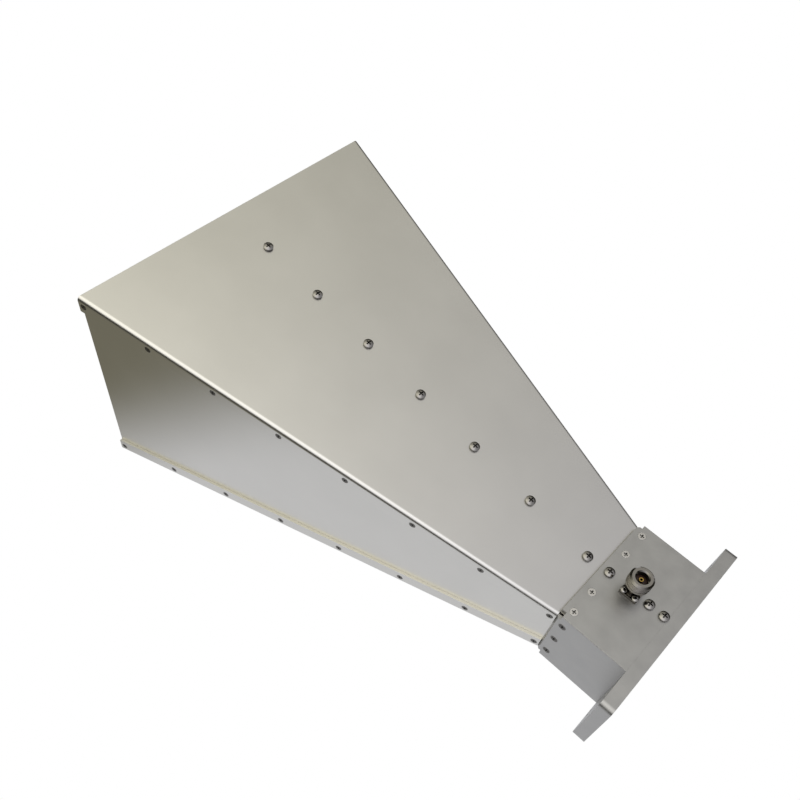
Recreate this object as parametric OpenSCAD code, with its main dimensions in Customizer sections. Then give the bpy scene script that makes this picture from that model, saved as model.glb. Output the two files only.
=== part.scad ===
// Double-ridged pyramidal horn antenna with a coaxial feed box.
// Frame: origin at the centre of the mounting flange's rear face, +X along the boresight to the
// mouth, +Z up towards the coaxial connector, +Y to the left seen from behind. Millimetres.

/* [Waveguide] */
// Inside width of the feed box and of the throat
guide_w = 83; // [70:1:84]
// Inside height of the feed box and of the throat
guide_h = 49; // [44:1:56]
// Thickness of the feed box's left and right walls
side_wall = 4.5; // [4:0.5:10]
// Thickness of the feed box's top and bottom walls
top_wall = 5.5; // [5.5:0.5:10]
// Length of the feed box ahead of the mounting flange
box_len = 51; // [48:1:70]
// Break on the long outer edges of the feed box
edge_break = 0.4; // [0.2:0.1:0.8]
// Length of the reliefs cut in the feed box's four front corners
relief_len = 3.2; // [2:0.1:5]
// Bevel on the front edges of the feed box's side walls
front_bevel = 1.4; // [0.4:0.1:2]

/* [Mounting flange] */
// Thickness of the mounting flange
flange_t = 9; // [6:0.5:15]
// Width of the mounting flange across both ears
flange_w = 147; // [138:1:180]
// Radius of the mounting flange's corners
flange_r = 4; // [1:0.5:10]
// Diameter of the mounting holes in the ears
ear_hole_d = 6.6; // [4:0.1:9]
// Distance between the left and right mounting holes
ear_pitch_y = 120; // [112:1:128]
// Distance between the upper and lower mounting holes
ear_pitch_z = 36; // [20:1:44]

/* [Flare] */
// Distance from the feed box to the mouth
flare_len = 350; // [320:5:420]
// Clear width of the mouth
mouth_w = 248; // [200:2:280]
// Clear height of the mouth
mouth_h = 169; // [140:1:200]
// Thickness of the aluminium sheet
sheet_t = 2; // [1.5:0.1:2.4]
// Inside radius of the folds in the top and bottom panels
bend_r = 1.2; // [0.6:0.1:2]
// Height of the folded lips that lap over the side panels
lip_h = 12.3; // [11:0.1:18]
// Length of the sheet tabs that plug into the feed box
tab_len = 10; // [8.5:0.5:14]

/* [Ridges] */
// Thickness of the two ridges
ridge_t = 10; // [8:0.5:14]
// Gap between the ridges at the feed
feed_gap = 2; // [1:0.1:4]
// Distance from the flange to the probe pin
probe_back = 27; // [25:0.5:32]
// Distance from the probe pin back to the ridges' heels
heel_back = 7; // [4:0.5:8]
// Height of the ridges' feet behind the heels
foot_h = 8; // [7.5:0.5:12]
// Height left on the ridges' tips at the mouth
tip_h = 3; // [1:0.5:10]
// Distance from the ridges' tips back from the mouth
tip_setback = 3; // [1:0.5:20]

/* [Connector] */
// Outside diameter of the coupling thread
thread_d = 15.9; // [14:0.1:18]
// Height of the connector above the feed box
connector_h = 20.1; // [18:0.1:24]
// Length of the coupling thread
thread_len = 9.3; // [7:0.1:11]
// Bore inside the coupling thread
socket_d = 8.2; // [7:0.1:9.5]
// Side of the connector's square flange
plate_w = 12.7; // [12:0.1:13.2]
// Thickness of the connector's square flange
plate_t = 2; // [1.5:0.1:3]
// Pitch of the holes in the connector's square flange
plate_pitch = 8.64; // [8.4:0.01:8.8]
// Diameter of the neck between the flange and the coupling thread
neck_d = 7.4; // [6.6:0.1:7.4]
// Diameter of the centre contact's socket
contact_d = 3; // [2.4:0.1:3.4]
// Depth of the centre contact below the connector's rim
contact_drop = 3; // [1:0.1:4]
// Diameter of the probe pin
pin_d = 1.3; // [1:0.1:1.6]
// Diameter of the insulator around the probe pin
insulator_d = 4.2; // [3.6:0.1:5]
// Depth of the probe pin in the lower ridge
pin_depth = 6; // [3:0.5:9]

/* [Fasteners] */
// Thread diameter of the pan-head ridge screws
ridge_screw_d = 4; // [3:0.5:5]
// Head diameter of the pan-head ridge screws
ridge_head_d = 7; // [6:0.1:8]
// Head height of the pan-head ridge screws
ridge_head_h = 2.4; // [1.8:0.1:3]
// Depth of the ridge screws in the ridges
ridge_bite = 6.5; // [4:0.5:7]
// Number of ridge screws along each flare panel
ridge_screw_n = 7; // [4:1:7]
// Spacing of the ridge screws along the flare
ridge_pitch = 50; // [40:1:50]
// Distance from the feed box to the first ridge screw
ridge_first = 10.5; // [8:0.5:15]
// Number of screws along each corner seam
seam_n = 8; // [4:1:10]
// Thread diameter of the seam screws
seam_screw_d = 2.5; // [2:0.1:2.6]
// Distance from the flare's ends to the end seam screws
seam_end = 3.6; // [3.2:0.1:8]
// Distance from the flare's outer corner to the seam screws
seam_inset = 6.3; // [5.8:0.1:8]
// Thread diameter of the joint screws round the feed box's front
joint_screw_d = 3; // [2.5:0.1:3]
// Distance from the feed box's front to the joint screws
joint_back = 6.3; // [4.5:0.1:6.5]
// Spacing of the joint screws across the top and bottom
joint_pitch_y = 19; // [16:0.5:19]
// Spacing of the joint screws down each side
joint_pitch_z = 19.6; // [14:0.1:20]
// Thread diameter of the connector screws
plate_screw_d = 2.5; // [2:0.1:2.5]
// Depth of the flange screws in the feed box
flange_bite = 8; // [5:0.5:12]

/* [Hidden] */
$fn = 48;

// Clearances
fit_gap = 0.05;                           // between pieces that slide or screw together
hole_gap = 0.25;                          // round a screw that passes through a sheet or wall
end_gap = 0.2;                            // between the lips' ends and the feed box
edge_gap = 0.3;                           // between a side panel's edge and the fold
seat_gap = 0.02;                          // between sloping sheets and what bears on them
rebate_gap = 0.1;                         // round the flare's tabs in the feed box
hair = 0.0001;                            // lets a bend run cleanly into its flats
cut = 1;                                  // how far a cutter runs past the face that it opens

// Feed box and flange
box_w = guide_w + 2 * side_wall;
box_h = guide_h + 2 * top_wall;
joint_x = flange_t + box_len;             // where the flare meets the feed box
mouth_x = joint_x + flare_len;
probe_x = flange_t + probe_back;
joint_screw_x = joint_x - joint_back;
rebate_y = guide_w / 2 + sheet_t + rebate_gap;
rebate_z = guide_h / 2 + sheet_t + rebate_gap;
relief_in = 1;                            // how far a corner relief reaches in past the lips
heel_x = probe_x - heel_back;
foot_screw_first = 3;                     // from the flange to the rear foot screw
foot_screws_x = [flange_t + foot_screw_first, heel_x - 6];

// Flare: slope of the panels and of the lips along the corners
top_a = atan((mouth_h - guide_h) / 2 / flare_len);
side_a = atan((mouth_w - guide_w) / 2 / flare_len);
bend_out = bend_r + sheet_t;
top_normal = [-sin(top_a), 0, cos(top_a)];
side_normal = [-sin(side_a), cos(side_a), 0];
corner_run = [1, tan(side_a), tan(top_a)];
corner_dir = corner_run / norm(corner_run);
web_dir = cross(-top_normal, corner_dir);  // along the web, square to the corner, inwards
lip_dir = cross(side_normal, corner_dir);  // along the lip, square to the corner, downwards
fold_a = acos(web_dir * lip_dir);          // angle inside the fold
bend_back = bend_out / tan(fold_a / 2);    // from the outer corner to where the bend starts
bend_mid = -[cos(fold_a / 2), sin(fold_a / 2)];
tab_y = guide_w / 2 - edge_gap;            // half the width of the top and bottom panels' tabs
corner_y = guide_w / 2 + (2 * sheet_t + seat_gap) / cos(side_a);
corner_z = guide_h / 2 + sheet_t / cos(top_a);
function web_in_z(x) = guide_h / 2 + (x - joint_x) * tan(top_a);
function web_out_z(x) = corner_z + (x - joint_x) * tan(top_a);
function lip_out_y(x) = corner_y + (x - joint_x) * tan(side_a);

// Screw rows
seam_pitch = (flare_len - 2 * seam_end) / (seam_n - 1);
function seam_x(i) = joint_x + seam_end + i * seam_pitch;
function ridge_x(i) = joint_x + ridge_first + i * ridge_pitch;
flange_screws_y = [-36, -14, 14, 36];
flange_screw_z = (guide_h + top_wall) / 2;
seam_head_d = 1.88 * seam_screw_d;
joint_head_d = 1.83 * joint_screw_d;
plate_head_d = 1.8 * plate_screw_d;
plate_head_h = 0.7 * plate_screw_d;

// Ridge curve: the gap opens exponentially from the feed to the mouth
taper_x = joint_x - 8;
tip_x = mouth_x - tip_setback;
tip_z = web_in_z(tip_x) - tip_h;
taper_rate = ln(tip_z / (feed_gap / 2)) / (tip_x - taper_x);
taper_steps = 40;
function taper_z(x) = feed_gap / 2 * exp(taper_rate * (x - taper_x));

// Connector
rim_z = box_h / 2 + connector_h;
ring_z = rim_z - thread_len;
bead_z = ring_z + 1.5;                    // underside of the insulator's bead
bead_h = 3;
thread_end = 0.6;                         // bevel at each end of the coupling thread
socket_bevel = 0.6;
contact_top = rim_z - contact_drop;
seat_z = bead_z + 0.5;                    // where the contact's shoulder sits in the bead
contact_bore_d = 1.7;

// ---- Screws -----------------------------------------------------------------------------

// Cross recess for a driver, cut downwards from z = 0
module cross_recess(span, depth) {
    for (a = [0, 90])
        rotate(a)
            translate([-span / 2, -span / 8, -depth])
                cube([span, span / 4, depth + cut]);
}

// Pan-head screw: the head sits on z = 0 and the shank points down
module pan_screw(d, head_d, head_h, length) {
    rise = 0.4 * head_h;
    dome_r = (head_d * head_d / 4 + rise * rise) / (2 * rise);
    difference() {
        union() {
            rotate_extrude()
                intersection() {
                    translate([0, head_h - dome_r])
                        circle(dome_r, $fn = 96);
                    square([head_d / 2, head_h]);
                }
            translate([0, 0, -length])
                cylinder(d = d, h = length + fit_gap);
        }
        translate([0, 0, head_h])
            cross_recess(0.56 * head_d, 0.55 * head_h);
    }
}

// Countersunk screw: the head's top is flush with z = 0 and the shank points down
module flush_screw(d, head_d, length) {
    cone_h = (head_d - d) / 2;
    difference() {
        union() {
            translate([0, 0, -cone_h])
                cylinder(d1 = d, d2 = head_d, h = cone_h);
            translate([0, 0, -length])
                cylinder(d = d, h = length - cone_h / 2);
        }
        cross_recess(0.56 * head_d, 0.6 * cone_h);
    }
}

// Clearance hole and countersink for a flush screw in a wall whose face is z = 0
module flush_hole(d, head_d, depth) {
    top_d = head_d + 2 * fit_gap;
    hole_d = d + 2 * hole_gap;
    cone_h = (top_d - hole_d) / 2;
    translate([0, 0, -cone_h])
        cylinder(d1 = hole_d, d2 = top_d, h = cone_h);
    cylinder(d = top_d, h = cut);
    translate([0, 0, -depth])
        cylinder(d = hole_d, h = depth);
}

// Tapped hole, from depth below z = 0 to just above it
module tapped_hole(d, depth) {
    translate([0, 0, -depth])
        cylinder(d = d + 2 * fit_gap, h = depth + cut);
}

// ---- Where the screws go ----------------------------------------------------------------

// On the top panel's outer face, over the ridge
module at_ridge_screws() {
    for (i = [0:ridge_screw_n - 1])
        translate([ridge_x(i), 0, web_out_z(ridge_x(i)) + seat_gap])
            rotate([0, -top_a, 0])
                children();
}

// On the feed box's top, over the ridge
module at_box_ridge_screws() {
    for (x = concat(foot_screws_x, [joint_screw_x]))
        translate([x, 0, box_h / 2])
            children();
}

// On the outer face of the left upper lip
module at_seam_screws() {
    for (i = [0:seam_n - 1])
        translate([seam_x(i), lip_out_y(seam_x(i)), web_out_z(seam_x(i)) - seam_inset])
            rotate([-90, 0, side_a])
                children();
}

// On the feed box's top, along its front edge
module at_top_joint_screws() {
    for (k = [-2, -1, 1, 2])
        translate([joint_screw_x, k * joint_pitch_y, box_h / 2])
            children();
}

// On the feed box's left side, along its front edge
module at_side_joint_screws() {
    for (k = [-1:1])
        translate([joint_screw_x, box_w / 2, k * joint_pitch_z])
            rotate([-90, 0, 0])
                children();
}

// On the mounting flange's rear face, over the feed box's top and bottom walls
module at_flange_screws() {
    for (y = flange_screws_y, s = [-1, 1])
        translate([0, y, s * flange_screw_z])
            rotate([0, -90, 0])
                children();
}

// On the connector's square flange
module at_plate_screws() {
    for (sx = [-1, 1], sy = [-1, 1])
        translate([probe_x + sx * plate_pitch / 2, sy * plate_pitch / 2, box_h / 2 + plate_t])
            children();
}

module both_sides() {
    for (s = [0, 1])
        mirror([0, s, 0])
            children();
}

module top_and_bottom() {
    for (s = [0, 1])
        mirror([0, 0, s])
            children();
}

// ---- Mounting flange and feed box -------------------------------------------------------

module rounded_plate(w, h, r) {
    square([w - 2 * r, h], center = true);
    square([w, h - 2 * r], center = true);
    for (sx = [-1, 1], sy = [-1, 1])
        translate([sx * (w / 2 - r), sy * (h / 2 - r)])
            circle(r);
}

// Stands a profile drawn in (Y, Z) up and runs it along +X
module along_x(length) {
    rotate([90, 0, 90])
        linear_extrude(length)
            children();
}

module mounting_flange() {
    color("#9b9a96")
    difference() {
        along_x(flange_t)
            rounded_plate(flange_w, box_h, flange_r);
        for (sy = [-1, 1], sz = [-1, 1])
            translate([-cut, sy * ear_pitch_y / 2, sz * ear_pitch_z / 2])
                rotate([0, 90, 0])
                    cylinder(d = ear_hole_d, h = flange_t + 2 * cut);
        at_flange_screws()
            flush_hole(joint_screw_d, joint_head_d, flange_t + cut);
    }
}

// Outline of the feed box across the boresight, with its long edges broken
module box_outline() {
    y = box_w / 2;
    z = box_h / 2;
    e = edge_break;
    polygon([
        [y - e, -z], [y, e - z], [y, z - e], [y - e, z],
        [e - y, z], [-y, z - e], [-y, e - z], [e - y, -z]
    ]);
}

// The machined waveguide section: a rectangular tube with a rebate for the flare's tabs
module feed_box() {
    color("#95938d")
    difference() {
        translate([flange_t, 0, 0])
            along_x(box_len)
                box_outline();
        translate([flange_t - cut, -guide_w / 2, -guide_h / 2])
            cube([box_len + 2 * cut, guide_w, guide_h]);
        translate([joint_x - tab_len - fit_gap, -rebate_y, -rebate_z])
            cube([tab_len + fit_gap + cut, 2 * rebate_y, 2 * rebate_z]);
        both_sides() {
            top_and_bottom()
                corner_relief();
            side_front_bevel();
            at_side_joint_screws()
                flush_hole(joint_screw_d, joint_head_d, side_wall + cut);
        }
        top_and_bottom() {
            at_top_joint_screws()
                flush_hole(joint_screw_d, joint_head_d, top_wall + cut);
            at_box_ridge_screws()
                translate([0, 0, -top_wall - cut])
                    cylinder(d = ridge_screw_d + 2 * hole_gap, h = top_wall + 2 * cut);
        }
        translate([probe_x, 0, guide_h / 2 - cut])
            cylinder(d = insulator_d + 2 * fit_gap, h = top_wall + 2 * cut);
        at_plate_screws()
            tapped_hole(plate_screw_d, plate_t + top_wall - 1);
        at_flange_screws()
            tapped_hole(joint_screw_d, flange_t + flange_bite + cut);
    }
}

// Relief at a front corner, which clears the rounded end of the flare's fold
module corner_relief() {
    y = guide_w / 2 + fit_gap;
    z = corner_z - relief_in;
    translate([joint_x - relief_len, y, z])
        cube([relief_len + cut, box_w / 2 - y + cut, box_h / 2 - z + cut]);
}

module side_front_bevel() {
    b = front_bevel;
    translate([joint_x, box_w / 2, -box_h / 2 - cut])
        linear_extrude(box_h + 2 * cut)
            polygon([[-b, 0], [0, -b], [cut, -b], [cut, cut], [-b, cut]]);
}

// ---- Flare panels -----------------------------------------------------------------------

// Section of a sheet that leaves the feed box straight and then slopes outwards
module sheet_section(h0, h1, a) {
    polygon([
        [joint_x - tab_len, h0], [joint_x, h0], [mouth_x, h1],
        [mouth_x, h1 + sheet_t / cos(a)], [joint_x - sheet_t * tan(a / 2), h0 + sheet_t],
        [joint_x - tab_len, h0 + sheet_t]
    ]);
}

// Section of a folded sheet square to the corner: web, bend and lip, with the corner at the origin
module fold_section() {
    t = sheet_t;
    far = mouth_w / 2 + bend_out;
    lip = [cos(fold_a), sin(fold_a)];
    inwards = [sin(fold_a), -cos(fold_a)];
    start = [bend_back, 0];                // where the web ends and the bend starts
    end = bend_back * lip;                 // where the bend ends and the lip starts
    centre = [bend_back, bend_out];
    mid_r = bend_r + t / 2;
    difference() {
        polygon([
            [0, 0], [far, 0], [far, t], [t / tan(fold_a / 2), t], lip_h * lip + t * inwards,
            lip_h * lip
        ]);
        difference() {
            polygon([2 * start - end, 2 * end - start, -start - end]);
            translate(centre)
                circle(bend_out + hair);
        }
    }
    difference() {
        translate(centre)
            polygon([[0, 0], mid_r * [0, -1], mid_r * bend_mid, -mid_r * inwards]);
        translate(centre)
            circle(bend_r + hair);
    }
}

// Left half of the top panel, cut off square at the mouth and just ahead of the feed box. Its web
// runs a little further back, into the tab.
module half_panel() {
    u = web_dir;
    v = -top_normal;
    w = corner_dir;
    over = mouth_w / 4;
    intersection() {
        multmatrix([
            [u.x, v.x, w.x, joint_x], [u.y, v.y, w.y, corner_y], [u.z, v.z, w.z, corner_z],
            [0, 0, 0, 1]
        ])
            translate([0, 0, -over])
                linear_extrude(norm(corner_run) * flare_len + 2 * over)
                    fold_section();
        union() {
            translate([joint_x + end_gap, 0, 0])
                cube([flare_len - end_gap, mouth_w, mouth_h]);
            translate([joint_x - sheet_t, 0, guide_h / 2])
                cube([2 * sheet_t, tab_y, mouth_h]);
        }
    }
}

// Flat tab of the top panel, which plugs into the feed box
module panel_tab() {
    back = sheet_t * tan(top_a / 2) / 2;
    translate([joint_x - tab_len, -tab_y, guide_h / 2])
        cube([tab_len - back, 2 * tab_y, sheet_t]);
}

module folded_panel() {
    difference() {
        union() {
            panel_tab();
            both_sides()
                half_panel();
        }
        at_ridge_screws()
            translate([0, 0, -sheet_t - cut])
                cylinder(d = ridge_screw_d + 2 * hole_gap, h = sheet_t + 2 * cut);
        both_sides()
            at_seam_screws()
                flush_hole(seam_screw_d, seam_head_d, sheet_t + cut);
        at_top_joint_screws()
            tapped_hole(joint_screw_d, top_wall + cut);
        translate([joint_screw_x, 0, guide_h / 2 - cut])
            cylinder(d = ridge_screw_d + 2 * hole_gap, h = sheet_t + 2 * cut);
    }
}

module top_panel() {
    color("#bdbab2")
        folded_panel();
}

module bottom_panel() {
    color("#b4b2ac")
    mirror([0, 0, 1])
        folded_panel();
}

// Flat side panel, held between the lips of the top and bottom panels
module side_panel() {
    back = bend_r + edge_gap;
    z0 = guide_h / 2 - back;
    z1 = mouth_h / 2 - back;
    difference() {
        intersection() {
            translate([0, 0, -mouth_h])
                linear_extrude(2 * mouth_h)
                    sheet_section(guide_w / 2, mouth_w / 2, side_a);
            translate([0, mouth_w, 0])
                rotate([90, 0, 0])
                    linear_extrude(mouth_w)
                        polygon([
                            [joint_x - tab_len, -z0], [joint_x, -z0], [mouth_x, -z1],
                            [mouth_x, z1], [joint_x, z0], [joint_x - tab_len, z0]
                        ]);
        }
        top_and_bottom()
            at_seam_screws()
                tapped_hole(seam_screw_d, 2 * sheet_t + cut);
        at_side_joint_screws()
            tapped_hole(joint_screw_d, side_wall + cut);
    }
}

module left_side_panel() {
    color("#a9a7a4")
        side_panel();
}

module right_side_panel() {
    color("#a9a7a4")
    mirror([0, 1, 0])
        side_panel();
}

// ---- Ridges -----------------------------------------------------------------------------

// Side view of the upper ridge: foot, heel, level feed part, exponential taper and blunt tip
module ridge_outline() {
    top = guide_h / 2;
    step = (tip_x - taper_x) / taper_steps;
    polygon(concat(
        [[flange_t, top], [flange_t, top - foot_h], [heel_x, top - foot_h]],
        [[heel_x, feed_gap / 2]],
        [for (i = [0:taper_steps]) [taper_x + i * step, taper_z(taper_x + i * step)]],
        [[tip_x, web_in_z(tip_x) - seat_gap], [joint_x, top - seat_gap], [joint_x - 1, top]]
    ));
}

module ridge_plate() {
    difference() {
        translate([0, ridge_t / 2, 0])
            rotate([90, 0, 0])
                linear_extrude(ridge_t)
                    ridge_outline();
        at_ridge_screws()
            tapped_hole(ridge_screw_d, sheet_t + ridge_bite + cut);
        at_box_ridge_screws()
            tapped_hole(ridge_screw_d, top_wall + ridge_bite + 0.5);
    }
}

module upper_ridge() {
    color("#c4c2bd")
    difference() {
        ridge_plate();
        translate([probe_x, 0, 0])
            cylinder(d = insulator_d + 2 * fit_gap, h = guide_h);
    }
}

module lower_ridge() {
    color("#c4c2bd")
    difference() {
        mirror([0, 0, 1])
            ridge_plate();
        translate([probe_x, 0, -feed_gap / 2 - pin_depth - cut])
            cylinder(d = pin_d + 2 * fit_gap, h = pin_depth + 2 * cut);
    }
}

// ---- Coaxial connector ------------------------------------------------------------------

// Neck and threaded barrel, before they are bored
module connector_barrel() {
    c = thread_end;
    r = thread_d / 2;
    rotate_extrude()
        polygon([
            [0, box_h / 2 + plate_t / 2], [neck_d / 2, box_h / 2 + plate_t / 2],
            [neck_d / 2, ring_z], [r - c, ring_z], [r, ring_z + c], [r, rim_z - c],
            [r - c, rim_z], [0, rim_z]
        ]);
}

// Socket in the threaded barrel, with a bevelled mouth
module connector_socket() {
    c = socket_bevel;
    s = socket_d / 2;
    rotate_extrude()
        polygon([
            [0, bead_z], [s, bead_z], [s, rim_z - c], [s + c + cut, rim_z + cut],
            [0, rim_z + cut]
        ]);
}

module connector_body() {
    color("#b8b5ad")
    difference() {
        union() {
            translate([probe_x, 0, 0])
                connector_barrel();
            translate([probe_x - plate_w / 2, -plate_w / 2, box_h / 2])
                cube([plate_w, plate_w, plate_t]);
        }
        translate([probe_x, 0, 0]) {
            connector_socket();
            translate([0, 0, box_h / 2 - cut])
                cylinder(d = insulator_d + 2 * fit_gap, h = bead_z - box_h / 2 + 2 * cut);
        }
        at_plate_screws()
            translate([0, 0, -plate_t - cut])
                cylinder(d = plate_screw_d + 2 * hole_gap, h = plate_t + 2 * cut);
    }
}

// Turned insulator: a bead in the socket and a sleeve down to the feed gap
module connector_insulator() {
    color("#efece4")
    translate([probe_x, 0, 0])
        difference() {
            union() {
                translate([0, 0, bead_z])
                    cylinder(d = socket_d - 2 * fit_gap, h = bead_h);
                translate([0, 0, feed_gap / 2])
                    cylinder(d = insulator_d, h = bead_z - feed_gap / 2 + fit_gap);
            }
            cylinder(d = pin_d + 2 * fit_gap, h = rim_z);
            translate([0, 0, seat_z])
                cylinder(d = contact_d + 2 * fit_gap, h = bead_h);
        }
}

// Centre contact and probe pin, turned in one piece
module connector_contact() {
    color("#c9a24a")
    translate([probe_x, 0, 0])
        difference() {
            union() {
                translate([0, 0, seat_z])
                    cylinder(d = contact_d, h = contact_top - seat_z);
                translate([0, 0, -feed_gap / 2 - pin_depth])
                    cylinder(d = pin_d, h = seat_z + feed_gap / 2 + pin_depth + fit_gap);
            }
            translate([0, 0, seat_z + 1])
                cylinder(d = contact_bore_d, h = connector_h);
        }
}

// ---- Fasteners --------------------------------------------------------------------------

module connector_screws() {
    color("#8f8d88")
    at_plate_screws()
        pan_screw(plate_screw_d, plate_head_d, plate_head_h, plate_t + 4);
}

module ridge_screws() {
    at_ridge_screws()
        pan_screw(ridge_screw_d, ridge_head_d, ridge_head_h, sheet_t + ridge_bite);
}

module top_ridge_screws() {
    color("#a7a49c")
        ridge_screws();
}

module bottom_ridge_screws() {
    color("#a7a49c")
    mirror([0, 0, 1])
        ridge_screws();
}

module box_ridge_screws() {
    at_box_ridge_screws()
        pan_screw(ridge_screw_d, ridge_head_d, ridge_head_h, top_wall + ridge_bite);
}

module box_top_ridge_screws() {
    color("#a7a49c")
        box_ridge_screws();
}

module box_bottom_ridge_screws() {
    color("#a7a49c")
    mirror([0, 0, 1])
        box_ridge_screws();
}

module seam_screws() {
    color("#8f8d88")
    at_seam_screws()
        flush_screw(seam_screw_d, seam_head_d, 2 * sheet_t - 0.1);
}

module left_upper_seam_screws() {
    seam_screws();
}

module left_lower_seam_screws() {
    mirror([0, 0, 1])
        seam_screws();
}

module right_upper_seam_screws() {
    mirror([0, 1, 0])
        seam_screws();
}

module right_lower_seam_screws() {
    mirror([0, 1, 0])
        mirror([0, 0, 1])
            seam_screws();
}

module top_joint_screws() {
    color("#b9b7b2")
    at_top_joint_screws()
        flush_screw(joint_screw_d, joint_head_d, top_wall - 0.1);
}

module box_top_joint_screws() {
    top_joint_screws();
}

module box_bottom_joint_screws() {
    mirror([0, 0, 1])
        top_joint_screws();
}

module box_left_joint_screws() {
    color("#b9b7b2")
    at_side_joint_screws()
        flush_screw(joint_screw_d, joint_head_d, side_wall - 0.1);
}

module box_right_joint_screws() {
    mirror([0, 1, 0])
        box_left_joint_screws();
}

module flange_screws() {
    color("#b9b7b2")
    at_flange_screws()
        flush_screw(joint_screw_d, joint_head_d, flange_t + flange_bite);
}

mounting_flange();
feed_box();
top_panel();
bottom_panel();
left_side_panel();
right_side_panel();
upper_ridge();
lower_ridge();
connector_body();
connector_insulator();
connector_contact();
connector_screws();
top_ridge_screws();
bottom_ridge_screws();
box_top_ridge_screws();
box_bottom_ridge_screws();
left_upper_seam_screws();
left_lower_seam_screws();
right_upper_seam_screws();
right_lower_seam_screws();
box_top_joint_screws();
box_bottom_joint_screws();
box_left_joint_screws();
box_right_joint_screws();
flange_screws();
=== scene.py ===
import bpy
import numpy as np
from mathutils import Matrix, Vector


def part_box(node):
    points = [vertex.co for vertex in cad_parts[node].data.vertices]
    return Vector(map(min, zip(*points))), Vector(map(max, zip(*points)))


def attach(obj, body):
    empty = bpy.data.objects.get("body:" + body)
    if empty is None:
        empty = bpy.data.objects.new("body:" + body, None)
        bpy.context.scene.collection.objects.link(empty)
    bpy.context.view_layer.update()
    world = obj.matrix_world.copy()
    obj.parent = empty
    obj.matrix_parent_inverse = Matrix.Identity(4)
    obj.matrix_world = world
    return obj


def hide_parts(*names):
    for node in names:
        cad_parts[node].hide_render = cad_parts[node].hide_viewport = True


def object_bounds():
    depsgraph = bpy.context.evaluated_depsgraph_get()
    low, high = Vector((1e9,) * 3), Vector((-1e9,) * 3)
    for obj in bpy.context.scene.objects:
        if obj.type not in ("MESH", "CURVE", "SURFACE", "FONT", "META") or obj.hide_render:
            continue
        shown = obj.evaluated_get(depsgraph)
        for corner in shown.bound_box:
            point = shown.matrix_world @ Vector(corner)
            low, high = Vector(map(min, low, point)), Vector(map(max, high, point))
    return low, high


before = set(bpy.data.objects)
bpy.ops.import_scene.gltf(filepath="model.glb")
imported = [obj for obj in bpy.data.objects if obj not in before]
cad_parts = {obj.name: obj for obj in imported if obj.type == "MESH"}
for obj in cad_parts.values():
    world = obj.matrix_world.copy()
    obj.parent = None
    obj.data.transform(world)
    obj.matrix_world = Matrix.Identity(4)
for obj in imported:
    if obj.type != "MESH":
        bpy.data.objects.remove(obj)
cad_box = [list(corner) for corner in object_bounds()]
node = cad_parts


def linear(hex_colour):
    """Scene-linear RGBA of an sRGB hex colour: c/12.92 under 0.04045, else ((c+0.055)/1.055)^2.4."""
    values = [int(hex_colour[i:i + 2], 16) / 255 for i in (1, 3, 5)]
    return [v / 12.92 if v < 0.04045 else ((v + 0.055) / 1.055) ** 2.4 for v in values] + [1]


def add(tree, kind, inputs=None, **settings):
    """A new node of that kind, with settings on it and values or links on its inputs."""
    new = tree.nodes.new(kind)
    for key, value in settings.items():
        setattr(new, key, value)
    for key, value in (inputs or {}).items():
        if isinstance(value, bpy.types.NodeSocket):
            tree.links.new(value, new.inputs[key])
        else:
            new.inputs[key].default_value = value
    return new


def finish(name, colour, worn, roughness, cloud, grain, edge):
    """A metal finish; lengths are in mm.

    Colour is the base times 1 +- depth by a cloud noise of that size, and turns to the worn colour where
    the normal of the rounded edge leaves the face's own. Roughness runs between its two values with the
    cloud. Relief is a grain noise stretched to three lengths, with its height in thousandths of a mm.
    """
    made = bpy.data.materials.new(name)
    made.use_nodes = True
    tree = made.node_tree
    tree.nodes.clear()
    place = add(tree, "ShaderNodeTexCoord").outputs["Object"]
    size, depth = cloud
    fog = add(tree, "ShaderNodeTexNoise", {"Vector": place, "Scale": 1000 / size, "Detail": 3.0}).outputs[0]
    shade = add(tree, "ShaderNodeMapRange", {"Value": fog, "From Min": 0.3, "From Max": 0.7,
                                             "To Min": 1 - depth, "To Max": 1 + depth}).outputs[0]
    tone = add(tree, "ShaderNodeMix", {0: 1.0, 6: linear(colour), 7: shade},
               data_type="RGBA", blend_type="MULTIPLY").outputs[2]
    radius, wear = edge
    soft = add(tree, "ShaderNodeBevel", {"Radius": radius / 1000}, samples=6).outputs["Normal"]
    flat = add(tree, "ShaderNodeNewGeometry").outputs["Normal"]
    lean = add(tree, "ShaderNodeVectorMath", {0: soft, 1: flat}, operation="DOT_PRODUCT").outputs["Value"]
    rubbed = add(tree, "ShaderNodeMapRange", {"Value": lean, "From Min": 0.985, "From Max": 0.8,
                                              "To Min": 0.0, "To Max": wear}).outputs[0]
    tone = add(tree, "ShaderNodeMix", {0: rubbed, 6: tone, 7: linear(worn)}, data_type="RGBA").outputs[2]
    satin = add(tree, "ShaderNodeMapRange", {"Value": fog, "From Min": 0.3, "From Max": 0.7,
                                             "To Min": roughness[0], "To Max": roughness[1]}).outputs[0]
    lengths, height = grain
    drawn = add(tree, "ShaderNodeMapping", {"Vector": place, "Scale": [1000 / v for v in lengths]}).outputs[0]
    marks = add(tree, "ShaderNodeTexNoise", {"Vector": drawn, "Scale": 1.0, "Detail": 2.0}).outputs[0]
    relief = add(tree, "ShaderNodeBump", {"Strength": 1.0, "Distance": height / 1e6, "Height": marks,
                                          "Normal": soft}).outputs[0]
    shader = add(tree, "ShaderNodeBsdfPrincipled",
                 {"Base Color": tone, "Metallic": 1.0, "Roughness": satin, "Normal": relief})
    add(tree, "ShaderNodeOutputMaterial", {"Surface": shader.outputs["BSDF"]})
    return made, shader


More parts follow.
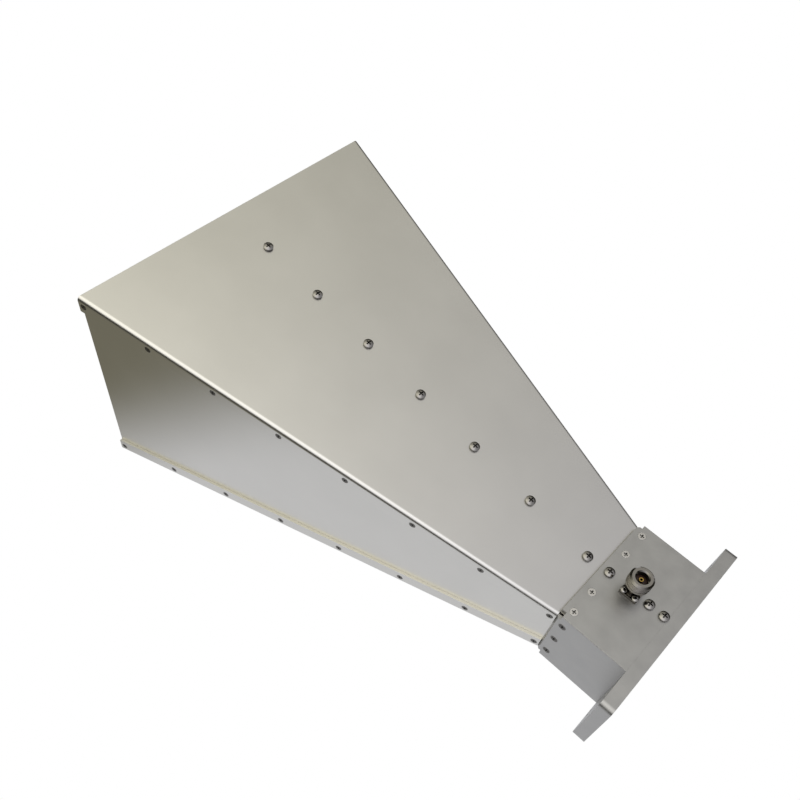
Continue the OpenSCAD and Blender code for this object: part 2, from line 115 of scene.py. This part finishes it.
def paint_shade_in_hollows(made, shader, reach, hollow_shade):
    """Paints shade into the colour: turns it to the hollow shade colour where open air within reach, in mm,
    is shut out: 1 - openness.
    """
    tree = made.node_tree
    tone = shader.inputs["Base Color"].links[0].from_socket
    air = add(tree, "ShaderNodeAmbientOcclusion", {"Distance": reach / 1000}, samples=8).outputs["AO"]
    shut = add(tree, "ShaderNodeMapRange", {"Value": air, "From Min": 0.95, "From Max": 0.45,
                                            "To Min": 0.0, "To Max": 1.0}).outputs[0]
    dark = add(tree, "ShaderNodeMix", {0: shut, 6: tone, 7: linear(hollow_shade)}, data_type="RGBA").outputs[2]
    tree.links.new(dark, shader.inputs["Base Color"])


def coat(material, *names):
    """Puts one material on all the slots of these CAD nodes."""
    for name in names:
        mesh = node[name].data
        mesh.materials.clear()
        mesh.materials.append(material)


# ---- Camera
# Above and behind the horn's left side, looking down along its taper.
camera = bpy.data.objects.new("camera", bpy.data.cameras.new("camera"))
bpy.context.collection.objects.link(camera)
camera.data.lens = 37.73
camera.data.sensor_width = 36
camera.data.shift_x = 0.0079
camera.data.shift_y = 0.080
camera.data.clip_start = 0.01
right = Vector((-0.72436, -0.68242, 0.09799))
up = Vector((0.61232, -0.5715, 0.54631))
back = Vector((-0.31681, 0.45573, 0.83183))
turn = Matrix((right, up, back)).transposed()
camera.matrix_world = Matrix.Translation((0.0266, 0.2956, 0.4957)) @ turn.to_4x4()
bpy.context.scene.camera = camera

# ---- Flare panels
# Rolled aluminium sheet, cut, folded at the long edges and passivated to a faintly warm satin.
# The rolling marks run with the boresight and the passivation leaves soft clouds.
sheet, shader = finish("passivated_rolled_sheet", "#D5D3CC", "#EFEDE6", (0.28, 0.31), (42, 0.02),
                       ((30, 0.5, 0.5), 3), (0.2, 0.5))
coat(sheet, "top_panel", "bottom_panel", "left_side_panel", "right_side_panel")

# ---- Feed box and mounting flange
# Milled from aluminium bar and blasted, so greyer and flatter than the sheet, with cloudy handling
# marks and edges rubbed bright.
milled, shader = finish("milled_blasted_aluminium", "#AFAEAA", "#DEDCD6", (0.36, 0.46), (13, 0.07),
                        ((0.4, 0.4, 0.4), 6), (0.12, 0.6))
coat(milled, "feed_box", "mounting_flange")

# ---- Ridges
# Profile-milled aluminium plate: the cutter's marks run across the curved edge.
ridge, shader = finish("profile_milled_ridge", "#CFCDC6", "#E8E6E0", (0.24, 0.34), (9, 0.04),
                       ((0.6, 8, 0.6), 6), (0.15, 0.5))
coat(ridge, "upper_ridge", "lower_ridge")

# ---- Pan-head screws
# Cold-headed stainless steel, tumbled smooth, with a deep cross recess darkened by painted shade.
pan, shader = finish("tumbled_stainless", "#9A9791", "#C9C6BF", (0.1, 0.16), (1.5, 0.08),
                     ((0.3, 0.3, 0.3), 2), (0.15, 0.4))
# Painted shade darkens the cross recess and the head's foot against the panel.
paint_shade_in_hollows(pan, shader, 2.2, "#12110F")
coat(pan, "top_ridge_screws", "bottom_ridge_screws", "box_top_ridge_screws", "box_bottom_ridge_screws",
     "connector_screws")

# ---- Countersunk screws
# Steel painted dark for the shade in its recess and countersink, rubbed at the rim, in the lips and the box's
# sides; polished stainless elsewhere.
steel_in_painted_shade, shader = finish("steel_painted_countersink_shade", "#62605B", "#B5B1A9", (0.25, 0.36), (1.2, 0.15),
                      ((0.3, 0.3, 0.3), 2), (0.3, 0.9))
# Painted shade darkens the recess further.
paint_shade_in_hollows(steel_in_painted_shade, shader, 1.6, "#0C0B0A")
coat(steel_in_painted_shade, "left_upper_seam_screws", "left_lower_seam_screws", "right_upper_seam_screws",
     "right_lower_seam_screws", "box_left_joint_screws", "box_right_joint_screws")
bright, shader = finish("polished_stainless", "#D6D3CC", "#F6F4EE", (0.12, 0.2), (1.2, 0.05),
                        ((0.3, 0.3, 0.3), 2), (0.2, 0.8))
# Painted shade darkens the recess.
paint_shade_in_hollows(bright, shader, 1.8, "#100F0E")
coat(bright, "box_top_joint_screws", "box_bottom_joint_screws", "flange_screws")

# ---- Coaxial connector
# Turned brass under bright nickel: a square flange, a neck and a barrel whose coupling thread is 24 turns
# to the inch above a plain collar. One closed turned profile, from the bore up through the socket and down
# outside, and the flange's slab.
mm = 0.001
(low_x, low_y, base_z), (high_x, high_y, rim_z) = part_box("connector_body")
axis_x = (low_x + high_x) / 2
thread_r = (high_y - low_y) / 2
ring_z = rim_z - 9.3 * mm
bead_z = ring_z + 1.5 * mm
bore_r = 2.15 * mm
socket_r = 4.1 * mm
neck_r = 3.7 * mm
collar_h = 2.2 * mm
mouth_bevel = 0.8 * mm
rim_bevel = 1.3 * mm
foot_bevel = 0.6 * mm
flange_half = 6.35 * mm
flange_top = base_z + 2 * mm
inch = 25.4 * mm
pitch = inch / 24
thread_depth = 0.6 * pitch
flank_slope = 2.6
flat_share = 0.2
thread_rows = 128
around = 96


def threaded_surface(inner, outer, rows, count):
    """Points of a closed turned profile: the inner points, then rows down the thread, then the outer ones.

    A thread point lies at r = thread_r - thread_depth * groove * fade: groove is a trapezoid wave of
    z / pitch - angle / turn, and fade runs from 0 to 1 over one pitch at either end.
    """
    top, bottom = inner[-1][1], outer[0][1]
    z = np.linspace(top, bottom, rows + 2)[1:-1]
    angle = np.arange(count) * 2 * np.pi / count
    phase = (z[:, None] / pitch - angle[None, :] / (2 * np.pi)) % 1
    groove = np.clip(flank_slope * np.abs(phase - 0.5) - flat_share, 0, 1)
    fade = np.clip(np.minimum(top - z, z - bottom) / pitch, 0, 1)[:, None]
    thread = thread_r - thread_depth * groove * fade
    radii = [np.full(count, r) for r, _ in inner] + list(thread) + [np.full(count, r) for r, _ in outer]
    heights = [h for _, h in inner] + list(z) + [h for _, h in outer]
    radius = np.array(radii)
    height = np.repeat(np.array(heights)[:, None], count, axis=1)
    points = np.stack([axis_x + radius * np.cos(angle), radius * np.sin(angle), height], axis=-1)
    return points.reshape(-1, 3), len(heights)


inside = [(bore_r, base_z), (bore_r, bead_z), (socket_r, bead_z), (socket_r, rim_z - mouth_bevel),
          (socket_r + mouth_bevel, rim_z), (thread_r - rim_bevel, rim_z), (thread_r, rim_z - rim_bevel)]
outside = [(thread_r, ring_z + collar_h), (thread_r, ring_z + foot_bevel),
           (thread_r - foot_bevel, ring_z), (neck_r, ring_z), (neck_r, base_z)]
turned, loops = threaded_surface(inside, outside, thread_rows, around)
ring, step = np.meshgrid(np.arange(loops), np.arange(around), indexing="ij")
next_ring, next_step = (ring + 1) % loops, (step + 1) % around
turned_faces = np.stack([ring * around + step, next_ring * around + step,
                         next_ring * around + next_step, ring * around + next_step], axis=-1).reshape(-1, 4)
slab = np.array([(axis_x + x * flange_half, y * flange_half, z) for z in (base_z, flange_top)
                 for x, y in ((-1, -1), (1, -1), (1, 1), (-1, 1))])
slab_faces = np.array([(3, 2, 1, 0), (4, 5, 6, 7), (0, 1, 5, 4), (1, 2, 6, 5), (2, 3, 7, 6), (3, 0, 4, 7)])
body_mesh = bpy.data.meshes.new("threaded_connector_body")
body_mesh.from_pydata(np.vstack([turned, slab]).tolist(), [],
                      np.vstack([turned_faces, slab_faces + len(turned)]).tolist())
body_mesh.polygons.foreach_set("use_smooth", [True] * len(body_mesh.polygons))
body_mesh.set_sharp_from_angle(angle=0.5)
body = bpy.data.objects.new("threaded_connector_body", body_mesh)
bpy.context.collection.objects.link(body)
nickel, shader = finish("bright_nickel_plate", "#98948C", "#D5D1C8", (0.05, 0.08), (5, 0.04),
                        ((0.3, 0.3, 0.3), 0.5), (0.12, 0.4))
# Painted shade darkens the bore, the socket and the thread's grooves.
paint_shade_in_hollows(nickel, shader, 7, "#1F1812")
body_mesh.materials.append(nickel)
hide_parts("connector_body")
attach(body, "root")

# The contact in the socket is gilded brass, and the insulator that holds it an amber engineering plastic
# whose colour is darkened to near-black with painted shade of the deep socket.
gold, shader = finish("gold_plate", "#D9B562", "#EBCF8A", (0.15, 0.22), (1, 0.04),
                      ((0.2, 0.2, 0.2), 0.5), (0.08, 0.3))
# Painted shade darkens the contact down in the socket.
paint_shade_in_hollows(gold, shader, 5, "#3A2410")
coat(gold, "connector_contact")
amber_in_painted_shade, shader = finish("amber_plastic_painted_socket_shade", "#2E1708", "#4A2A12", (0.3, 0.42), (1.5, 0.12),
                       ((0.2, 0.2, 0.2), 2), (0.08, 0.3))
shader.inputs["Metallic"].default_value = 0.0
coat(amber_in_painted_shade, "connector_insulator")

# ---- Floor
# A pale sweep: white to the camera. To the metal's reflections it glows with painted light and shade, a plain
# pale grey that falls off towards the mouth and goes dark away from the light.
floor_half = 6
floor_mesh = bpy.data.meshes.new("floor")
floor_mesh.from_pydata([(-floor_half, -floor_half, 0), (floor_half, -floor_half, 0),
                        (floor_half, floor_half, 0), (-floor_half, floor_half, 0)], [], [(0, 1, 2, 3)])
floor = bpy.data.objects.new("floor", floor_mesh)
floor.location.z = cad_box[0][2] - 0.0005
bpy.context.collection.objects.link(floor)
paper = bpy.data.materials.new("white_paper")
paper.use_nodes = True
tree = paper.node_tree
tree.nodes.clear()
fade_heading = (0.64, 0.77, 0)
horn_middle = (0.2, 0, 0)
lit_paper = (0.745, 0.755, 0.8, 1)
shaded_paper = (0.21, 0.2, 0.155, 1)
painted_far_floor_shade = (0.04, 0.038, 0.03, 1)
place = add(tree, "ShaderNodeTexCoord").outputs["Object"]
along = add(tree, "ShaderNodeVectorMath", {0: place, 1: fade_heading},
            operation="DOT_PRODUCT").outputs["Value"]
fade = add(tree, "ShaderNodeMapRange",
           {"Value": along, "From Min": 0.31, "From Max": 0.44, "To Min": 0.0, "To Max": 1.0},
           interpolation_type="SMOOTHSTEP").outputs[0]
tone = add(tree, "ShaderNodeMix", {0: fade, 6: lit_paper, 7: shaded_paper}, data_type="RGBA").outputs[2]
away = add(tree, "ShaderNodeVectorMath", {0: place, 1: horn_middle}, operation="DISTANCE").outputs["Value"]
far_shade_mask = add(tree, "ShaderNodeMapRange",
          {"Value": away, "From Min": 0.42, "From Max": 0.75, "To Min": 0.0, "To Max": 1.0},
          interpolation_type="SMOOTHSTEP").outputs[0]
tone = add(tree, "ShaderNodeMix", {0: far_shade_mask, 6: tone, 7: painted_far_floor_shade}, data_type="RGBA").outputs[2]
seen = add(tree, "ShaderNodeLightPath").outputs["Is Camera Ray"]
painted_floor_light = add(tree, "ShaderNodeEmission", {"Color": tone, "Strength": 1.0}).outputs[0]
white = add(tree, "ShaderNodeEmission", {"Color": (1, 1, 1, 1), "Strength": 1.0}).outputs[0]
both = add(tree, "ShaderNodeMixShader", {0: seen, 1: painted_floor_light, 2: white}).outputs[0]
add(tree, "ShaderNodeOutputMaterial", {"Surface": both})
floor_mesh.materials.append(paper)

# ---- World
# A studio: one large soft box overhead, a little to the left, that fades to plain walls and to a dim
# horizon, cool behind the flange and warmer ahead of the mouth. White to the camera.
world = bpy.data.worlds.new("studio")
bpy.context.scene.world = world
world.use_nodes = True
tree = world.node_tree
tree.nodes.clear()
soft_box_heading = (0.1, 0.35, 0.93)
behind_tint = (1, 1, 1.08, 1)
ahead_tint = (1, 0.98, 0.87, 1)
dim_horizon = (0.02, 0.019, 0.016, 1)
heading = add(tree, "ShaderNodeTexCoord").outputs["Generated"]
axes = add(tree, "ShaderNodeSeparateXYZ", {0: heading})
toward = add(tree, "ShaderNodeVectorMath", {0: heading, 1: soft_box_heading},
             operation="DOT_PRODUCT").outputs["Value"]
reach = add(tree, "ShaderNodeMapRange", {"Value": toward, "From Min": 0.3, "From Max": 1.0,
                                         "To Min": 0.0, "To Max": 1.0}).outputs[0]
ramp = add(tree, "ShaderNodeValToRGB", {0: reach})
light = [(0.0, 0.24), (0.286, 0.285), (0.429, 0.31), (0.643, 0.43), (0.829, 0.72), (1.0, 0.8)]
while len(ramp.color_ramp.elements) < len(light):
    ramp.color_ramp.elements.new(0.5)
for element, (at, level) in zip(ramp.color_ramp.elements, light):
    element.position = at
    element.color = (level, level, level, 1)
ahead = add(tree, "ShaderNodeMapRange", {"Value": axes.outputs["X"], "From Min": -0.3, "From Max": 0.4,
                                         "To Min": 0.0, "To Max": 1.0}).outputs[0]
tint = add(tree, "ShaderNodeMix", {0: ahead, 6: behind_tint, 7: ahead_tint},
           data_type="RGBA").outputs[2]
box_light = add(tree, "ShaderNodeMix", {0: 1.0, 6: ramp.outputs["Color"], 7: tint},
                data_type="RGBA", blend_type="MULTIPLY").outputs[2]
rise = add(tree, "ShaderNodeMapRange",
           {"Value": axes.outputs["Z"], "From Min": 0.2, "From Max": 0.58, "To Min": 0.0, "To Max": 1.0},
           interpolation_type="SMOOTHSTEP").outputs[0]
sky = add(tree, "ShaderNodeMix", {0: rise, 6: dim_horizon, 7: box_light}, data_type="RGBA").outputs[2]
seen = add(tree, "ShaderNodeLightPath").outputs["Is Camera Ray"]
room = add(tree, "ShaderNodeBackground", {"Color": sky, "Strength": 2.0}).outputs[0]
white = add(tree, "ShaderNodeBackground", {"Color": (1, 1, 1, 1), "Strength": 1.0}).outputs[0]
both = add(tree, "ShaderNodeMixShader", {0: seen, 1: room, 2: white}).outputs[0]
add(tree, "ShaderNodeOutputWorld", {"Surface": both})

bpy.context.scene.view_settings.view_transform = "Standard"
